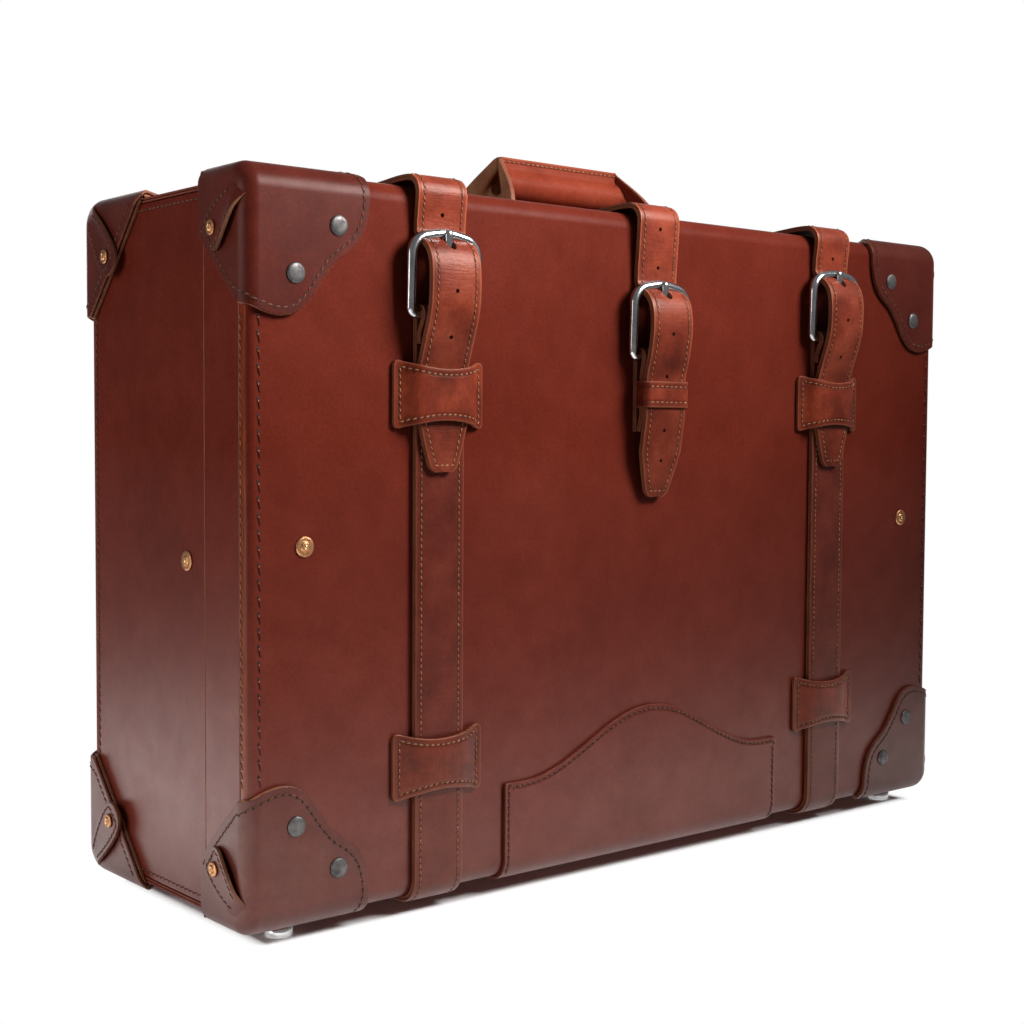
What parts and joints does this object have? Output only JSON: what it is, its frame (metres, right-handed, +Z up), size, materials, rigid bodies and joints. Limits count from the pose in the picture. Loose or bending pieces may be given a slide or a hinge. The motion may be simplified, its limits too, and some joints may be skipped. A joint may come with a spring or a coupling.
{
  "type": "leather suitcase",
  "caption": "Leather suitcase with a lid hinged at the bottom edge, buckled straps round it, moulded corner caps, a rolled handle and metal feet.",
  "frame": {"origin": "centre of the bounding box on the floor under the feet", "axes": "+X to the right seen from the lid's front, +Y from the lid to the back, +Z up"},
  "size_m": [0.667, 0.2372, 0.5073],
  "materials": {
    "body_leather": "semi-gloss",
    "cap_leather": "semi-gloss",
    "strap_leather": "satin",
    "lining_leather": "matte",
    "polished_steel": "polished",
    "dark_steel": "satin",
    "copper": "satin"
  },
  "bodies": {
    "base": {"base_cap_bottom_left": "cap_leather", "base_cap_bottom_right": "cap_leather", "base_cap_top_left": "cap_leather", "base_cap_top_right": "cap_leather", "base_lining": "lining_leather", "base_side_left": "body_leather", "base_side_right": "body_leather", "base_wrap": "body_leather", "foot_back_left": "polished_steel", "foot_back_right": "polished_steel", "handle": "strap_leather", "hinge_leaf": "body_leather", "middle_strap_end": "strap_leather", "side_rivet_left": "copper", "side_rivet_right": "copper", "strap_back_left": "strap_leather", "strap_back_right": "strap_leather"},
    "lid": {"billet_left": "strap_leather", "billet_middle": "strap_leather", "billet_right": "strap_leather", "dome_rivet_bottom_left_inner": "dark_steel", "dome_rivet_bottom_left_outer": "dark_steel", "dome_rivet_bottom_right_inner": "dark_steel", "dome_rivet_bottom_right_outer": "dark_steel", "dome_rivet_top_left_inner": "dark_steel", "dome_rivet_top_left_outer": "dark_steel", "dome_rivet_top_right_inner": "dark_steel", "dome_rivet_top_right_outer": "dark_steel", "foot_front_left": "polished_steel", "foot_front_right": "polished_steel", "front_rivet_left": "copper", "front_rivet_right": "copper", "lid_cap_bottom_left": "cap_leather", "lid_cap_bottom_right": "cap_leather", "lid_cap_top_left": "cap_leather", "lid_cap_top_right": "cap_leather", "lid_lining": "lining_leather", "lid_side_left": "body_leather", "lid_side_right": "body_leather", "lid_wrap": "body_leather", "lower_keeper_left": "strap_leather", "lower_keeper_right": "strap_leather", "lower_strap_left": "strap_leather", "lower_strap_right": "strap_leather", "middle_chape": "strap_leather", "scalloped_panel": "body_leather", "upper_keeper_left": "strap_leather", "upper_keeper_right": "strap_leather"},
    "buckle_left": {"buckle_frame_left": "polished_steel"},
    "prong_left": {"buckle_prong_left": "polished_steel"},
    "buckle_middle": {"buckle_frame_middle": "polished_steel"},
    "prong_middle": {"buckle_prong_middle": "polished_steel"},
    "buckle_right": {"buckle_frame_right": "polished_steel"},
    "prong_right": {"buckle_prong_right": "polished_steel"},
    "loose_keeper": {"middle_keeper": "strap_leather"}
  },
  "joints": [
    {"name": "lid_hinge", "type": "hinge", "parent": "base", "child": "lid", "pos_m": [0, -0.04634, 0.0068], "axis": [1, 0, 0], "range_deg": [0, 95]},
    {"name": "buckle_left_hinge", "type": "hinge", "parent": "lid", "child": "buckle_left", "pos_m": [-0.19, -0.10429, 0.3802], "axis": [1, 0, 0], "range_deg": [0, 2]},
    {"name": "prong_left_hinge", "type": "hinge", "parent": "buckle_left", "child": "prong_left", "pos_m": [-0.19, -0.10429, 0.3802], "axis": [1, 0, 0], "range_deg": [0, 2]},
    {"name": "buckle_middle_hinge", "type": "hinge", "parent": "lid", "child": "buckle_middle", "pos_m": [0, -0.10429, 0.3602], "axis": [1, 0, 0], "range_deg": [0, 2]},
    {"name": "prong_middle_hinge", "type": "hinge", "parent": "buckle_middle", "child": "prong_middle", "pos_m": [0, -0.10429, 0.3602], "axis": [1, 0, 0], "range_deg": [0, 2]},
    {"name": "buckle_right_hinge", "type": "hinge", "parent": "lid", "child": "buckle_right", "pos_m": [0.19, -0.10429, 0.3802], "axis": [1, 0, 0], "range_deg": [0, 2]},
    {"name": "prong_right_hinge", "type": "hinge", "parent": "buckle_right", "child": "prong_right", "pos_m": [0.19, -0.10429, 0.3802], "axis": [1, 0, 0], "range_deg": [0, 2]},
    {"name": "loose_keeper_slide", "type": "slide", "parent": "lid", "child": "loose_keeper", "axis": [0, 0, 1], "range_m": [-0.005, 0.005]}
  ]
}
